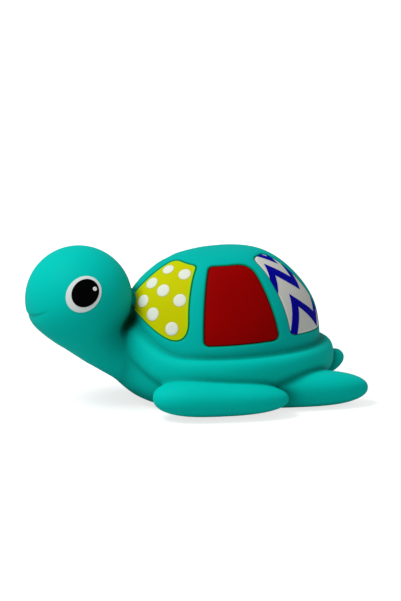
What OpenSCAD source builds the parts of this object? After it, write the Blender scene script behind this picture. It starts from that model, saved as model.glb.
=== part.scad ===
// Squeaky bath toy: a soft sea turtle with a domed shell that gives way over a squeaker in its belly.
// Millimetres, +Z up, nose towards -Y, the turtle's left side towards +X.
// The origin lies on the ground, under the middle of the toy.

/* [Overall] */
// Length of the toy, from the front of the head to the tips of the hind flippers
toy_len = 129; // [124:0.5:134]
// Wall of the vinyl skin
wall = 2.4; // [1.8:0.1:3]

/* [Shell] */
// Half of the width of the dome at its crease
shell_half_w = 33; // [31:0.5:35]
// How far the head reaches past the front of the dome
head_ahead = 38.9; // [38.1:0.1:40.1]
// How far the hind flippers reach past the back of the dome
hind_behind = 12.1; // [10.5:0.1:13.7]
// Distance of the dome's centre behind the middle of the toy
shell_back = 11.4; // [10.4:0.1:12.4]
// Height of the crease between dome and rim at the sides
crease_h = 21.6; // [20:0.2:23]
// How far the crease climbs over the neck
arch_rise = 14; // [11:0.5:15]
// Height of the top of the shell
dome_h = 59; // [55:0.5:63]
// How far the dome gives way when it is squeezed
squeeze = 6; // [4:0.5:7]
// Running gap between the dome's skirt and the rim
slide_gap = 0.4; // [0.3:0.05:0.6]

/* [Rim] */
// How far the rim stands out past the dome
rim_out = 5; // [3.5:0.5:6.5]
// Height of the rim
rim_h = 11.6; // [10.5:0.2:13]
// How far the chest swells out under the neck
chest_out = 2.6; // [1.5:0.1:3.5]

/* [Head] */
// Diameter of the head
head_d = 41.4; // [39:0.2:43]
// Height of the middle of the head
head_h = 41.3; // [40.1:0.2:42.9]
// Diameter of the neck under the head
neck_d = 25; // [23:0.5:27]
// Diameter of the neck where it enters the shell
collar_d = 23; // [21:0.5:25]
// Length of the neck's core, from inside the head to inside the shell
neck_len = 25; // [23:0.1:27]
// Gap between the head and the shell behind it
head_gap = 0.6; // [0.4:0.1:1]

/* [Flippers] */
// Length of a front flipper
fore_len = 52; // [48:0.5:56]
// Width of a front flipper
fore_w = 20; // [17:0.5:23]
// Thickness of a front flipper
fore_t = 13; // [11:0.5:14]
// Distance of a front flipper's middle outside the dome's crease
fore_out = 4; // [3.5:0.5:6]
// Distance of a front flipper's middle ahead of the dome's centre
fore_ahead = 8.4; // [6.4:0.5:9.4]
// Height of a front flipper's middle
fore_h = 7.6; // [6.5:0.1:8.5]
// Length of a hind flipper
hind_len = 50; // [46:0.5:54]
// Width of a hind flipper
hind_w = 19; // [16:0.5:21]
// Thickness of a hind flipper
hind_t = 13; // [11:0.5:14]
// Distance of a hind flipper's middle inside the dome's crease
hind_in = 7; // [5:0.5:8]

/* [Tail] */
// Length of the tail nub
tail_len = 12; // [10:0.5:13]
// Thickness of the tail nub
tail_d = 8.4; // [7:0.2:9.4]
// Height of the middle of the tail nub
tail_h = 11; // [10:0.2:12]

/* [Panels] */
// Depth of the seats that the coloured panels lie in
seat_d = 0.9; // [0.6:0.05:1.1]
// How far a panel's face lies below the ribs
panel_drop = 0.25; // [0.15:0.05:0.4]
// Radius of a panel's corners
panel_r = 5; // [3:0.5:6]
// Gap between a panel and the wall of its seat
seat_gap = 0.12; // [0.08:0.01:0.2]
// Thickness of a printed layer
print_t = 0.25; // [0.2:0.05:0.35]
// Gap under a printed layer
print_gap = 0.04; // [0.03:0.01:0.06]
// Diameter of a white dot
dot_d = 5; // [3.5:0.1:5.6]

/* [Eyes] */
// Width of the white of an eye
eye_w = 14.2; // [12:0.2:15]
// Height of the white of an eye
eye_h = 15.4; // [13:0.2:17]
// Width of a pupil
pupil_w = 10.2; // [8:0.2:11]
// Height of a pupil
pupil_h = 11.6; // [9:0.2:12.6]
// Diameter of the catchlight in a pupil
catch_d = 1.7; // [1.2:0.1:2.4]

/* [Squeaker] */
// Diameter of the squeaker's cup where it passes the belly
cup_d = 15.4; // [13:0.2:18]
// Diameter of the cup's flange under the belly
flange_d = 19.4; // [18.4:0.2:22]
// Thickness of the flange
flange_t = 1; // [0.8:0.1:1.4]
// Height of the cup
cup_h = 11; // [10:0.5:12]
// Wall of the cup
cup_wall = 1.2; // [0.9:0.1:1.5]
// Gap between the cup and the belly, and between the cup and its cap
cup_gap = 0.15; // [0.1:0.01:0.2]
// Width of the reed
reed_w = 3.4; // [2.4:0.2:4.4]
// Thickness of the reed
reed_t = 0.2; // [0.15:0.01:0.3]
// Gap between the reed and its block
reed_gap = 0.14; // [0.12:0.01:0.2]

/* [Hidden] */

vinyl = "#00a99a";
yellow = "#cccb00";
red = "#8c0000";
white = "#e6e4e0";
blue = "#050598";
black = "#060606";
plastic = "#e9e6dc";
brass = "#c9a64b";

// Facet counts and the solver's steps
shell_sides = 48;
form_sides = 24;
pad_sides = 20;
halvings = 12;
round_sides = 28;

// Overrun of every cut
over = 1;
// Seam left between two pieces of the skin that lie against each other
seam = 0.05;

// Small functions

function blend(a, b, t) = a + (b - a) * t;
function unit(v) = v / norm(v);
function turn_of(angle) = let (a = (angle % 360 + 360) % 360) min(a, 360 - a);

// Half a cosine wave: 1 at 0, 0 at the span and past it
function swell(x, span) = x < span ? (1 + cos(180 * x / span)) / 2 : 0;

// Smooth curve through the points of a table, whose first and last points only steer its ends
function curve(table, t) =
    let (
        spans = len(table) - 3,
        i = min(floor(t * spans), spans - 1),
        u = t * spans - i,
        a = table[i], b = table[i + 1], c = table[i + 2], d = table[i + 3]
    )
    (2 * b + (c - a) * u + (2 * a - 5 * b + 4 * c - d) * u * u + (3 * b - a - 3 * c + d) * u * u * u) / 2;

// Where the ray from c along d leaves the form, whose field is below 0 inside:
// equal strides until it is out, then halvings of the last stride
function stride_out(field, c, d, at, stride) =
    field(c + (at + stride) * d) < 0 ? stride_out(field, c, d, at + stride, stride) : at;
function halve(field, c, d, near, far, steps) =
    steps == 0 ? c + near * d :
    let (mid = (near + far) / 2)
    field(c + mid * d) < 0 ?
        halve(field, c, d, mid, far, steps - 1) :
        halve(field, c, d, near, mid, steps - 1);
function leave(field, c, d, stride) =
    let (near = stride_out(field, c, d, 0, stride)) halve(field, c, d, near, near + stride, halvings);

// Closed solid from a start point over rings of points to a finish point.
// Seen from the start, the rings run anticlockwise.
module loft(start, rings, finish) {
    n = len(rings[0]);
    last = len(rings) - 1;
    points = concat([start], [for (ring = rings) for (p = ring) p], [finish]);
    faces = concat(
        [for (k = [0:n - 1]) [0, 1 + (k + 1) % n, 1 + k]],
        [for (i = [0:last - 1], k = [0:n - 1])
            let (a = 1 + i * n + k, b = 1 + i * n + (k + 1) % n)
            each [[a, b, b + n], [a, b + n, a + n]]],
        [for (k = [0:n - 1]) [len(points) - 1, 1 + last * n + k, 1 + last * n + (k + 1) % n]]
    );
    polyhedron(points, faces);
}

// Closed ring of equal sections
module ring_of(sections) {
    m = len(sections);
    n = len(sections[0]);
    points = [for (section = sections) for (p = section) p];
    faces = [for (i = [0:m - 1], k = [0:n - 1])
        let (
            next = (i + 1) % m * n,
            a = i * n + k, b = i * n + (k + 1) % n, c = next + (k + 1) % n, d = next + k
        )
        each [[a, c, b], [a, d, c]]];
    polyhedron(points, faces);
}

// The left piece mirrored to the right side
module other_side() mirror([1, 0, 0]) children();

// The shell's surface.
// A place on it is an angle in degrees, 0 at the front and 90 at the left, and a share of the way up.

// Half of the dome's profile, as shares of its reach and of its height over the crease
dome_profile_share = [
    [0.985, -0.1], [1, 0], [0.985, 0.11], [0.95, 0.24], [0.90, 0.375], [0.83, 0.51],
    [0.735, 0.655], [0.62, 0.79], [0.49, 0.89], [0.35, 0.95], [0.18, 0.985], [0, 1], [-0.18, 0.985]
];
arch_span = 58;
// Reach of the dome in front of its centre and behind it
shell_front = shell_back + toy_len / 2 - head_ahead;
shell_rear = toy_len / 2 - shell_back - hind_behind;

function shell_reach(angle) = cos(angle) > 0 ? shell_front : shell_rear;
function crease_at(angle) = crease_h + arch_rise * swell(turn_of(angle), arch_span);
function plan_at(angle, share, out) = [
    (shell_half_w * share + out) * sin(angle),
    shell_back - (shell_reach(angle) * share + out) * cos(angle)
];
function dome_at(angle, t, inset) =
    let (
        share = curve(dome_profile_share, t),
        low = crease_at(angle),
        plan = plan_at(angle, share.x, -inset * share.x)
    )
    [plan.x, plan.y, low + (dome_h - inset - low) * share.y];

// Reach of the dome by its height, read off the same profile
dome_steps = 60;
dome_reach_share = [for (i = [0:dome_steps]) let (p = curve(dome_profile_share, i / dome_steps)) [p.y, p.x]];

// How far the rolled rim stands out at a depth under its crease, from -1 at its foot to 1 at its top
roll_power = 2.4;
neck_span = 50;
neck_fade_share = 0.6;
function roll_out(height, angle) =
    slide_gap + rim_out * (1 - neck_fade_share * swell(turn_of(angle), neck_span))
        * pow(max(0, 1 - pow(abs(height), roll_power)), 1 / roll_power);

// The belly's bowl narrows from under the rim to its flat foot
foot_share = 0.74;
bowl_power = 2.2;
bowl_top_out = slide_gap + rim_out / 4;
function bowl_out(angle) = bowl_top_out + chest_out * swell(turn_of(angle), neck_span);
function bowl_top(angle) = crease_at(angle) - rim_h - seam;
function bowl_share(up) =
    foot_share + (1 - foot_share) * pow(max(0, 1 - pow(1 - min(1, max(0, up)), bowl_power)), 1 / bowl_power);

// Distance of a point from the outside of dome, rim and belly, measured level and outwards
function off_body(p) =
    let (
        back = p.y - shell_back,
        reach = back < 0 ? shell_front : shell_rear,
        share = norm([p.x / shell_half_w, back / reach]),
        angle = atan2(p.x / shell_half_w, -back / reach),
        r = norm([shell_half_w * sin(angle), reach * cos(angle)]),
        low = crease_at(angle),
        up = (p.z - low) / (dome_h - low),
        height = (p.z - low + rim_h / 2) / (rim_h / 2)
    )
    up >= 1 ? r :
    up >= 0 ? (share - lookup(up, dome_reach_share)) * r :
    height >= -1 ? (share - 1) * r - roll_out(height, angle) :
    (share - 1) * r - bowl_out(angle) + (1 - bowl_share(p.z / bowl_top(angle))) * (r + bowl_out(angle));

// The whole outside of belly, rim and dome with the gap that the head keeps, for cutting the neck
mass_steps = 5;
module body_mass() {
    angles = [for (k = [0:shell_sides - 1]) 360 * k / shell_sides];
    function belly_ring(up) = [for (a = angles)
        let (p = plan_at(a, bowl_share(up), bowl_out(a) * bowl_share(up) + seam))
        [p.x, p.y, bowl_top(a) * up]];
    function rim_ring(height) = [for (a = angles)
        let (p = plan_at(a, 1, roll_out(height, a) + seam))
        [p.x, p.y, crease_at(a) + (height - 1) * rim_h / 2]];
    function dome_ring(t) = [for (a = angles) dome_at(a, t, -head_gap)];
    loft(
        dome_at(0, 1, -head_gap),
        concat(
            [for (i = [mass_steps:-1:0]) dome_ring(i / (mass_steps + 1))],
            [for (i = [1:mass_steps]) rim_ring(cos(180 * i / mass_steps))],
            [for (i = [mass_steps:-1:0]) belly_ring(i / mass_steps)]
        ),
        [0, shell_back, 0]
    );
}

// Panels, printed layers and their seats

// Corners of each left panel, as angle and share of the way up the dome, anticlockwise from the front foot
yellow_corner_share = [[6.5, 0.2], [57.5, 0.14], [51, 0.72], [14, 0.70]];
red_corner_share = [[68.5, 0.12], [115, 0.128], [117, 0.70], [68, 0.70]];
white_corner_share = [[126.6, 0.145], [171, 0.10], [168, 0.745], [123.5, 0.76]];
corner_steps = 3;
side_steps = 2;

// Millimetres across one degree and up the whole profile, at a place on the dome
profile_len = 1.16 * norm([shell_half_w, dome_h - crease_h]);
function place_scale(place) = [
    PI / 180 * curve(dome_profile_share, place.y).x * (shell_half_w + shell_reach(place.x)) / 2,
    profile_len
];
function place_step(place, step) = let (s = place_scale(place)) [step.x / s.x, step.y / s.y];
function place_dist(a, b) =
    let (s = place_scale(blend(a, b, 1 / 2))) norm([(b.x - a.x) * s.x, (b.y - a.y) * s.y]);

// Outline of a panel: straight sides whose corners are rounded by parabolas
function panel_outline(corners) = [
    for (i = [0:3])
        let (
            before = corners[(i + 3) % 4], c = corners[i], after = corners[(i + 1) % 4],
            a = blend(c, before, panel_r / place_dist(c, before)),
            b = blend(c, after, panel_r / place_dist(c, after)),
            next = blend(after, c, panel_r / place_dist(after, c))
        )
        each concat(
            [for (k = [0:corner_steps]) let (u = k / corner_steps) blend(blend(a, c, u), blend(c, b, u), u)],
            [for (k = [1:side_steps - 1]) blend(b, next, k / side_steps)]
        )
];
function sum_of(points, i = 0) = i == len(points) - 1 ? points[i] : points[i] + sum_of(points, i + 1);
function middle_of(outline) = sum_of(outline) / len(outline);
function grown(outline, mid, by) = [for (p = outline) p + (p - mid) * by / place_dist(p, mid)];
function round_outline(mid, size, sides) =
    [for (k = [0:sides - 1]) let (a = 360 * k / sides) mid + place_step(mid, size / 2 * [cos(a), sin(a)])];

// A layer of the dome between two depths, inside an outline
module dome_patch(outline, mid, top, foot, rings) {
    function ring(share, depth) =
        [for (p = outline) let (q = blend(mid, p, share)) dome_at(q.x, q.y, depth)];
    loft(
        dome_at(mid.x, mid.y, top),
        concat(
            [for (i = [1:rings]) ring(i / rings, top)],
            [for (i = [rings:-1:1]) ring(i / rings, foot)]
        ),
        dome_at(mid.x, mid.y, foot)
    );
}

panel_rings = 3;
// A seat's cutter stands far enough above the dome that its flat facets clear the skin
seat_over = (dome_h - crease_h) / 38;
module panel(corners) {
    outline = panel_outline(corners);
    mid = middle_of(outline);
    dome_patch(outline, mid, panel_drop, seat_d - seam, panel_rings);
}
module panel_seat(corners) {
    outline = panel_outline(corners);
    mid = middle_of(outline);
    wide = grown(outline, mid, seat_gap);
    dome_patch(wide, mid, -seat_over, seat_d, panel_rings);
}

// Dots of the left yellow panel, as angle and share of the way up
dot_place_share = [
    [21.9, 0.59], [42.7, 0.607], [16.4, 0.438], [30.6, 0.445], [18.2, 0.267], [47.6, 0.433], [30.2, 0.237],
    [46.3, 0.218]
];
dot_sides = 12;
dot_rings = 1;
print_foot = panel_drop - print_gap;
print_top = panel_drop - print_gap - print_t;
module dots() {
    for (place = dot_place_share)
        dome_patch(round_outline(place, dot_d, dot_sides), place, print_top, print_foot, dot_rings);
}

// Zigzag bands of the left white panel. Each turn gives its upper and its lower corner,
// as angle and share of the way up.
zigzag_share = [
    [[[126, 0.47], [127.5, 0.45]], [[135.5, 0.669], [136.6, 0.574]], [[158, 0.535], [162, 0.42]],
        [[166, 0.61], [169, 0.50]]],
    [[[126.6, 0.12], [131.3, 0.11]], [[136, 0.42], [139, 0.325]], [[155, 0.262], [159, 0.16]],
        [[166, 0.40], [168.5, 0.30]]],
    [[[146, 0.755], [141, 0.745]], [[150, 0.735], [150, 0.70]], [[156, 0.694], [160, 0.626]],
        [[163, 0.735], [167, 0.69]]]
];
// A leg of a band is straight, so it reaches far enough above and below the printed layer to hold its curve
leg_reach = (dome_h - crease_h) / 10;
module leg(turn, next) {
    corners = [turn[0], turn[1], next[1], next[0]];
    hull()
        loft(
            dome_at(turn[0].x, turn[0].y, -leg_reach),
            [for (depth = [-leg_reach, leg_reach]) [for (q = corners) dome_at(q.x, q.y, depth)]],
            dome_at(next[1].x, next[1].y, leg_reach)
        );
}
// What lies under the bands is cut away with the facets of the panel, so that they follow it closely
module zigzags() {
    outline = panel_outline(white_corner_share);
    mid = middle_of(outline);
    difference() {
        intersection() {
            dome_patch(grown(outline, mid, -seat_gap), mid, print_top, seat_d, panel_rings);
            union()
                for (turns = zigzag_share, i = [0:len(turns) - 2])
                    leg(turns[i], turns[i + 1]);
        }
        dome_patch(outline, mid, print_foot, seat_d + over, panel_rings);
    }
}

// The domed top shell, hollow, with a skirt that slides in the rim
dome_rings = 10;
inner_rings = 3;
skirt = rim_h - squeeze - wall - slide_gap;
module shell_dome() {
    angles = [for (k = [0:shell_sides - 1]) 360 * k / shell_sides];
    function low_ring(drop, inset) = [for (a = angles)
        let (p = plan_at(a, 1, -inset)) [p.x, p.y, crease_at(a) - drop]];
    function skin(rings, inset) =
        [for (i = [rings:-1:0]) [for (a = angles) dome_at(a, i / (rings + 1), inset)]];
    inner = skin(inner_rings, wall);
    color(vinyl)
    resize([2 * shell_half_w, shell_front + shell_rear, 0])
    difference() {
        loft(
            dome_at(0, 1, 0),
            concat(skin(dome_rings, 0), [low_ring(skirt, 0), low_ring(skirt, wall)],
                [for (i = [inner_rings:-1:0]) inner[i]]),
            dome_at(0, 1, wall)
        );
        for (side = [0, 1])
            mirror([side, 0, 0]) {
                panel_seat(yellow_corner_share);
                panel_seat(red_corner_share);
                panel_seat(white_corner_share);
            }
    }
}

// The rolled rim: a fold of the skin that opens inwards
roll_steps = 8;
fold_steps = 3;
module shell_rim() {
    function at(angle, out, height) =
        let (p = plan_at(angle, 1, out)) [p.x, p.y, crease_at(angle) - rim_h / 2 + height * rim_h / 2];
    fold_share = 1 - 2 * wall / rim_h;
    function section(angle) = concat(
        [for (k = [0:roll_steps]) let (h = cos(180 * k / roll_steps)) at(angle, roll_out(h, angle), h)],
        [for (k = [0:fold_steps])
            let (h = -cos(180 * k / fold_steps), deep = roll_out(0, angle) - slide_gap - wall)
            at(angle, slide_gap + deep * sqrt(max(0, 1 - h * h)), h * fold_share)]
    );
    color(vinyl) ring_of([for (k = [0:shell_sides - 1]) section(360 * k / shell_sides)]);
}

// The bowl under the rim, with a flat foot, a thick floor and the bore for the squeaker
floor_t = wall + flange_t;
bowl_steps = 5;
inner_bowl_steps = 3;
squeaker_y = shell_back;
module belly_pan() {
    angles = [for (k = [0:shell_sides - 1]) 360 * k / shell_sides];
    function bowl(up, inset, low) = [for (a = angles)
        let (p = plan_at(a, bowl_share(up), bowl_out(a) * bowl_share(up) - inset))
        [p.x, p.y, low + (bowl_top(a) - low) * up]];
    outer = [for (i = [0:bowl_steps]) bowl(i / bowl_steps, 0, 0)];
    inner = [for (i = [inner_bowl_steps:-1:0]) bowl(i / inner_bowl_steps, wall, floor_t)];
    color(vinyl)
    difference() {
        loft(
            [0, shell_back, floor_t],
            concat([for (i = [inner_bowl_steps:-1:0]) inner[i]], [for (i = [bowl_steps:-1:0]) outer[i]]),
            [0, shell_back, 0]
        );
        translate([0, squeaker_y, -over])
            cylinder(d = cup_d + 2 * cup_gap, h = floor_t + 2 * over, $fn = round_sides);
        translate([0, squeaker_y, -over])
            cylinder(d = flange_d + 2 * cup_gap, h = flange_t + over, $fn = round_sides);
    }
}

// The head and neck, one blended form that lies against the shell

head_r = head_d / 2;
head_mid = [0, head_r - toy_len / 2, head_h];
// The throat runs straight down and back from the chin. The core of the neck lies over it.
throat_slope = -27;
throat_along = [0, cos(throat_slope), sin(throat_slope)];
throat_up = [0, -sin(throat_slope), cos(throat_slope)];
throat_from = head_mid + head_r * [0, -0.24, -0.985];
neck_from = throat_from + throat_along * head_r / 2 + throat_up * neck_d / 2;
neck_to = throat_from + throat_along * neck_len + throat_up * collar_d / 2;
blend_r = head_r / 5;

function off_cone(p, a, b, ra, rb) =
    let (ab = b - a, t = max(0, min(1, (p - a) * ab / (ab * ab)))) norm(p - a - t * ab) - blend(ra, rb, t);
function soft_min(a, b, r) = let (h = max(0, 1 - abs(a - b) / r)) min(a, b) - h * h * r / 4;
// The chin is flatter than the rest of the head
chin_slope = 53;
chin_share = 0.925;
function off_ball(p) =
    let (q = p - head_mid)
    -soft_min(
        head_r - norm(q), chin_share * head_r + q.y * cos(chin_slope) + q.z * sin(chin_slope), head_r / 8
    );
function off_head(p) =
    soft_min(off_ball(p), off_cone(p, neck_from, neck_to, neck_d / 2, collar_d / 2), blend_r);

// The rings of the head fan out from a point below the throat
fan_at = head_mid + head_r * [0, -1.6, -2.4];
fan_reach = norm(head_mid - fan_at) - head_r / 8;
fan_front = atan2(head_mid.z - fan_at.z, head_mid.y - fan_at.y) + asin(head_r / norm(head_mid - fan_at));
fan_rings = 13;
fan_end = 19;
module head_skin(inset) {
    field = function(p) off_head(p) + inset;
    stride = head_r / 12;
    function fan_angle(t) = blend(fan_front, fan_end, t);
    function rim_ray(angle, b) = [-sin(b), cos(b) * cos(angle), cos(b) * sin(angle)];
    function core(angle) = fan_at + fan_reach * [0, cos(angle), sin(angle)];
    first = core(fan_angle(0.12));
    last = core(fan_angle(0.92));
    loft(
        leave(field, first, unit([0, -sin(fan_front), cos(fan_front)]), stride),
        [for (i = [1:fan_rings])
            let (angle = fan_angle((1 - cos(180 * i / (fan_rings + 1))) / 2), c = core(angle))
            [for (k = [0:form_sides - 1])
                leave(field, c, rim_ray(angle, 360 * k / form_sides), stride)]],
        leave(field, last, [0, sin(fan_end), -cos(fan_end)], stride)
    );
}

// Eyes: places on the head are turns to the left of straight ahead and rises over the level
eye_turn = 82.3;
eye_rise = 16;
eye_tilt = -24;
function eye_frame(turn, rise) =
    let (
        out = [cos(rise) * sin(turn), -cos(rise) * cos(turn), sin(rise)],
        side = unit(cross([0, 0, 1], out))
    )
    [out, side, cross(out, side)];
eye = eye_frame(eye_turn, eye_rise);
function on_head(x, y, lift) =
    let (ray = unit(eye[0] * head_r + eye[1] * x + eye[2] * y)) head_mid + (head_r + lift) * ray;

eye_sides = 20;
eye_rings = 3;
// A layer on the head over an oval, whose middle is moved across and up
module eye_patch(w, h, across, up, foot, top, sides = eye_sides, rings = eye_rings) {
    function ring(share, lift) = [for (k = [0:sides - 1])
        let (
            a = 360 * k / sides, x = share * w / 2 * cos(a), y = share * h / 2 * sin(a),
            tx = x * cos(eye_tilt) - y * sin(eye_tilt), ty = x * sin(eye_tilt) + y * cos(eye_tilt)
        )
        on_head(across + tx, up + ty, lift)];
    loft(
        on_head(across, up, top),
        concat([for (i = [1:rings]) ring(i / rings, top)], [for (i = [rings:-1:1]) ring(i / rings, foot)]),
        on_head(across, up, foot)
    );
}
eye_seat_d = seat_d * 2 / 3;
eye_top = print_t / 2;
pupil_across = eye_w / 18;
pupil_up = eye_h / 22;
catch_across = pupil_w * 0.33;
catch_up = pupil_h * 0.14;

smile_steps = 8;
smile_turn = 62;
smile_dip = head_r / 5;
smile_r = head_r / 45;
function smile_at(t) =
    let (
        turn = blend(-smile_turn, smile_turn, t),
        low = head_r * 0.36 - smile_dip * (2 * t - 1) * (2 * t - 1),
        level = sqrt(head_r * head_r - low * low)
    )
    head_mid + [level * sin(turn), -level * cos(turn), -low];

module head() {
    color(vinyl)
    difference() {
        head_skin(0);
        head_skin(wall);
        body_mass();
        for (i = [0:smile_steps - 1])
            hull() {
                translate(smile_at(i / smile_steps)) sphere(r = smile_r, $fn = 6);
                translate(smile_at((i + 1) / smile_steps)) sphere(r = smile_r, $fn = 6);
            }
        for (side = [0, 1])
            mirror([side, 0, 0])
                eye_patch(eye_w + 2 * seat_gap, eye_h + 2 * seat_gap, 0, 0, -eye_seat_d, over);
    }
}

module eye_white_left() color(white) eye_patch(eye_w, eye_h, 0, 0, seam - eye_seat_d, eye_top);
module pupil_left() color(black)
    eye_patch(pupil_w, pupil_h, pupil_across, pupil_up, eye_top + print_gap, eye_top + print_gap + print_t);
module catchlight_left() color(white)
    eye_patch(catch_d, catch_d, pupil_across + catch_across, pupil_up + catch_up,
        eye_top + 2 * print_gap + print_t, eye_top + 2 * print_gap + 2 * print_t, dot_sides, dot_rings);

// Flippers and tail: fat pads that lie against the body and flat on the ground

pad_power = 2.3;
pad_rings = 10;
// Distance from a pad's surface. The pad tapers along its length.
function off_pad(p, mid, along, half, taper) =
    let (
        side = unit(cross(along, [0, 0, 1])),
        up = cross(side, along),
        q = p - mid,
        l = q * along / half.x,
        w = q * side / (half.y * (1 - taper * l)),
        h = q * up / (half.z * (1 - taper * l))
    )
    half.z
        * (pow(pow(abs(l), pad_power) + pow(abs(w), pad_power) + pow(abs(h), pad_power), 1 / pad_power) - 1);
module pad(mid, core, along, half, taper, sides = pad_sides, rings = pad_rings) {
    side = unit(cross(along, [0, 0, 1]));
    up = cross(side, along);
    field = function(p) max(off_pad(p, mid, along, half, taper), seam - off_body(p), -p.z);
    loft(
        leave(field, core, -along * half.x, 1 / 8),
        [for (i = [1:rings])
            let (lat = 180 * i / (rings + 1))
            [for (k = [0:sides - 1])
                let (b = 360 * k / sides)
                leave(
                    field, core,
                    -cos(lat) * half.x * along + sin(lat) * (cos(b) * half.z * up - sin(b) * half.y * side),
                    1 / 8
                )]],
        leave(field, core, along * half.x, 1 / 8)
    );
}

fore_sweep = 9;
fore_taper = 0.16;
fore_x = shell_half_w + fore_out;
fore_y = shell_back - fore_ahead;
module front_flipper_left() color(vinyl)
    pad(
        [fore_x, fore_y, fore_h], [fore_x + fore_w / 6, fore_y, fore_h],
        [sin(fore_sweep), cos(fore_sweep), 0], [fore_len, fore_w, fore_t] / 2, fore_taper
    );

hind_sweep = 8;
hind_pitch = 2;
hind_taper = 0.2;
hind_along = [sin(hind_sweep) * cos(hind_pitch), cos(hind_sweep) * cos(hind_pitch), -sin(hind_pitch)];
hind_mid = [shell_half_w - hind_in, toy_len / 2 - hind_len / 2 * hind_along.y, hind_t / 2 + seam];
module hind_flipper_left() color(vinyl)
    pad(hind_mid, hind_mid + [hind_w / 5, 0, 0], hind_along, [hind_len, hind_w, hind_t] / 2, hind_taper);

tail_y = shell_back + shell_rear + rim_out;
tail_rings = 5;
tail_wide_share = 1.2;
module tail() color(vinyl)
    pad(
        [0, tail_y, tail_h], [0, tail_y + tail_len / 6, tail_h], [0, 1, 0],
        [tail_len, tail_d * tail_wide_share, tail_d] / 2, 0, dot_sides, tail_rings
    );

// The squeaker

cup_r = cup_d / 2;
cup_foot = seam;
cup_inner_r = cup_r - cup_wall;
cup_floor = cup_foot + flange_t + cup_wall;
sound_r = cup_wall;
ridge = cup_gap * 3;
module squeaker_cup() {
    top = cup_foot + cup_h;
    grip = floor_t + seam;
    color(plastic) translate([0, squeaker_y, 0])
        rotate_extrude($fn = round_sides) polygon([
            [sound_r, cup_foot], [flange_d / 2 - ridge, cup_foot], [flange_d / 2, cup_foot + ridge],
            [flange_d / 2, cup_foot + flange_t - seam], [cup_r, cup_foot + flange_t - seam], [cup_r, grip],
            [cup_r + cup_gap + ridge, grip], [cup_r, grip + cup_wall], [cup_r, top], [cup_inner_r, top],
            [cup_inner_r, cup_floor], [sound_r, cup_floor]
        ]);
}

// The block that the reed beats on: a stem with a flat face and an air channel in it
block_r = cup_inner_r * 0.62;
block_foot = cup_floor + seam;
cap_t = cup_wall;
cap_foot = cup_foot + cup_h - cap_t;
block_top = cap_foot - seam;
face_y = block_r / 5;
channel_w = reed_w / 2;
module reed_block() {
    long = block_top - block_foot;
    color(plastic) translate([0, squeaker_y, block_foot])
        difference() {
            cylinder(r = block_r, h = long, $fn = round_sides / 2);
            translate([-block_r, face_y, -over]) cube([2 * block_r, block_r, long + 2 * over]);
            translate([-channel_w / 2, 0, -over]) cube([channel_w, block_r, long * 3 / 4 + over]);
        }
}

reed_root = block_top - reed_w / 2;
reed_foot = block_foot + reed_w / 4;
reed_y = squeaker_y + face_y + reed_gap;
module reed() {
    color(brass)
        translate([-reed_w / 2, reed_y, reed_foot])
            cube([reed_w, reed_t, block_top - reed_gap - reed_foot]);
}

// The cap: a pierced disc with a wedge that holds the root of the reed
vent_r = cup_inner_r / 6;
vents = 5;
vent_from = 200;
vent_sweep = 140;
module squeaker_cap() {
    wedge_y = reed_y + reed_t + reed_gap;
    wedge_t = block_r / 2;
    color(plastic)
        difference() {
            union() {
                translate([0, squeaker_y, cap_foot])
                    cylinder(r = cup_inner_r - cup_gap / 3, h = cap_t, $fn = round_sides);
                translate([-reed_w / 2, wedge_y, reed_root])
                    cube([reed_w, wedge_t, cap_foot - reed_root + seam]);
            }
            for (i = [0:vents - 1])
                translate([0, squeaker_y, cap_foot - over])
                    rotate([0, 0, vent_from + i * vent_sweep / (vents - 1)])
                        translate([cup_inner_r * 2 / 3, 0, 0])
                            cylinder(r = vent_r, h = cap_t + 2 * over, $fn = dot_sides);
        }
}

shell_dome();
shell_rim();
belly_pan();
head();
tail();
front_flipper_left();
other_side() front_flipper_left();  // front_flipper_right
hind_flipper_left();
other_side() hind_flipper_left();  // hind_flipper_right
color(yellow) panel(yellow_corner_share);  // yellow_panel_left
color(yellow) other_side() panel(yellow_corner_share);  // yellow_panel_right
color(white) dots();  // dots_left
color(white) other_side() dots();  // dots_right
color(red) panel(red_corner_share);  // red_panel_left
color(red) other_side() panel(red_corner_share);  // red_panel_right
color(white) panel(white_corner_share);  // white_panel_left
color(white) other_side() panel(white_corner_share);  // white_panel_right
color(blue) zigzags();  // zigzags_left
color(blue) other_side() zigzags();  // zigzags_right
eye_white_left();
other_side() eye_white_left();  // eye_white_right
pupil_left();
other_side() pupil_left();  // pupil_right
catchlight_left();
other_side() catchlight_left();  // catchlight_right
squeaker_cup();
reed_block();
reed();
squeaker_cap();
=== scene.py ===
# %% [markdown]
# A squeaky sea turtle for the bath. The real toy is one hollow skin of soft vinyl, moulded in a turning
# mould, with its colours sprayed and printed on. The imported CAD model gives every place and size, so the
# first step loads it as a fixed frame, and all later pieces are fitted round it in metres.

# %% Load the frame
import math

import bpy
import numpy as np
from mathutils import Matrix, Vector
from mathutils.geometry import delaunay_2d_cdt


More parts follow.
